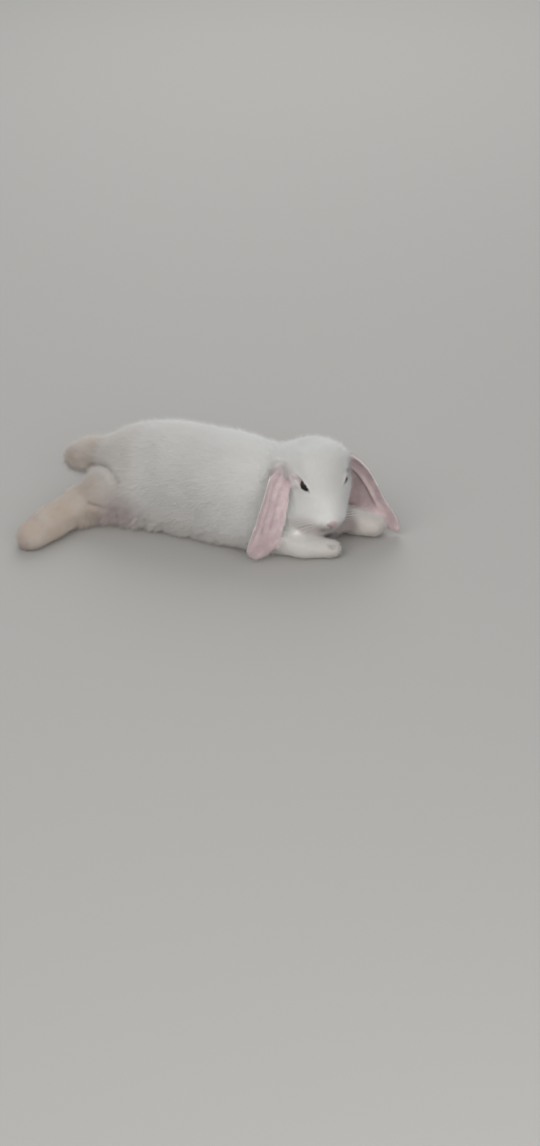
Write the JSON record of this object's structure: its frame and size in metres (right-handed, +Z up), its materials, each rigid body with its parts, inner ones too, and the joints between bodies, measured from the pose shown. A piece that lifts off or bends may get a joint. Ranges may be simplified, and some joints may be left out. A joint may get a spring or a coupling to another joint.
{
  "type": "lop rabbit",
  "caption": "Still life-size small lop rabbit lying stretched out on its belly, head low over the forepaws and turned to its right, ears hanging, short white coat.",
  "frame": {"origin": "on the floor under the middle of the animal's bounding box", "axes": "+X towards the head along the body, +Y to the rabbit's left, +Z up from the floor"},
  "size_m": [0.4176, 0.2048, 0.1228],
  "materials": {
    "coat": "short dense plush fur, warm white",
    "thin_skin": "thinly furred pink skin of the inner ears",
    "eye": "wet, near black",
    "claw": "pale translucent horn"
  },
  "bodies": {
    "root": {"head": "coat", "neck": "coat", "chest": "coat", "loin": "coat", "rump": "coat", "tail": "coat", "thigh_right": "coat", "thigh_left": "coat", "hind_foot_right": "coat", "hind_foot_left": "coat", "forearm_right": "coat", "forepaw_right": "coat", "forearm_left": "coat", "forepaw_left": "coat", "ear_right": "thin_skin", "ear_left": "thin_skin", "eye_right": "eye", "eye_left": "eye"}
  },
  "joints": []
}
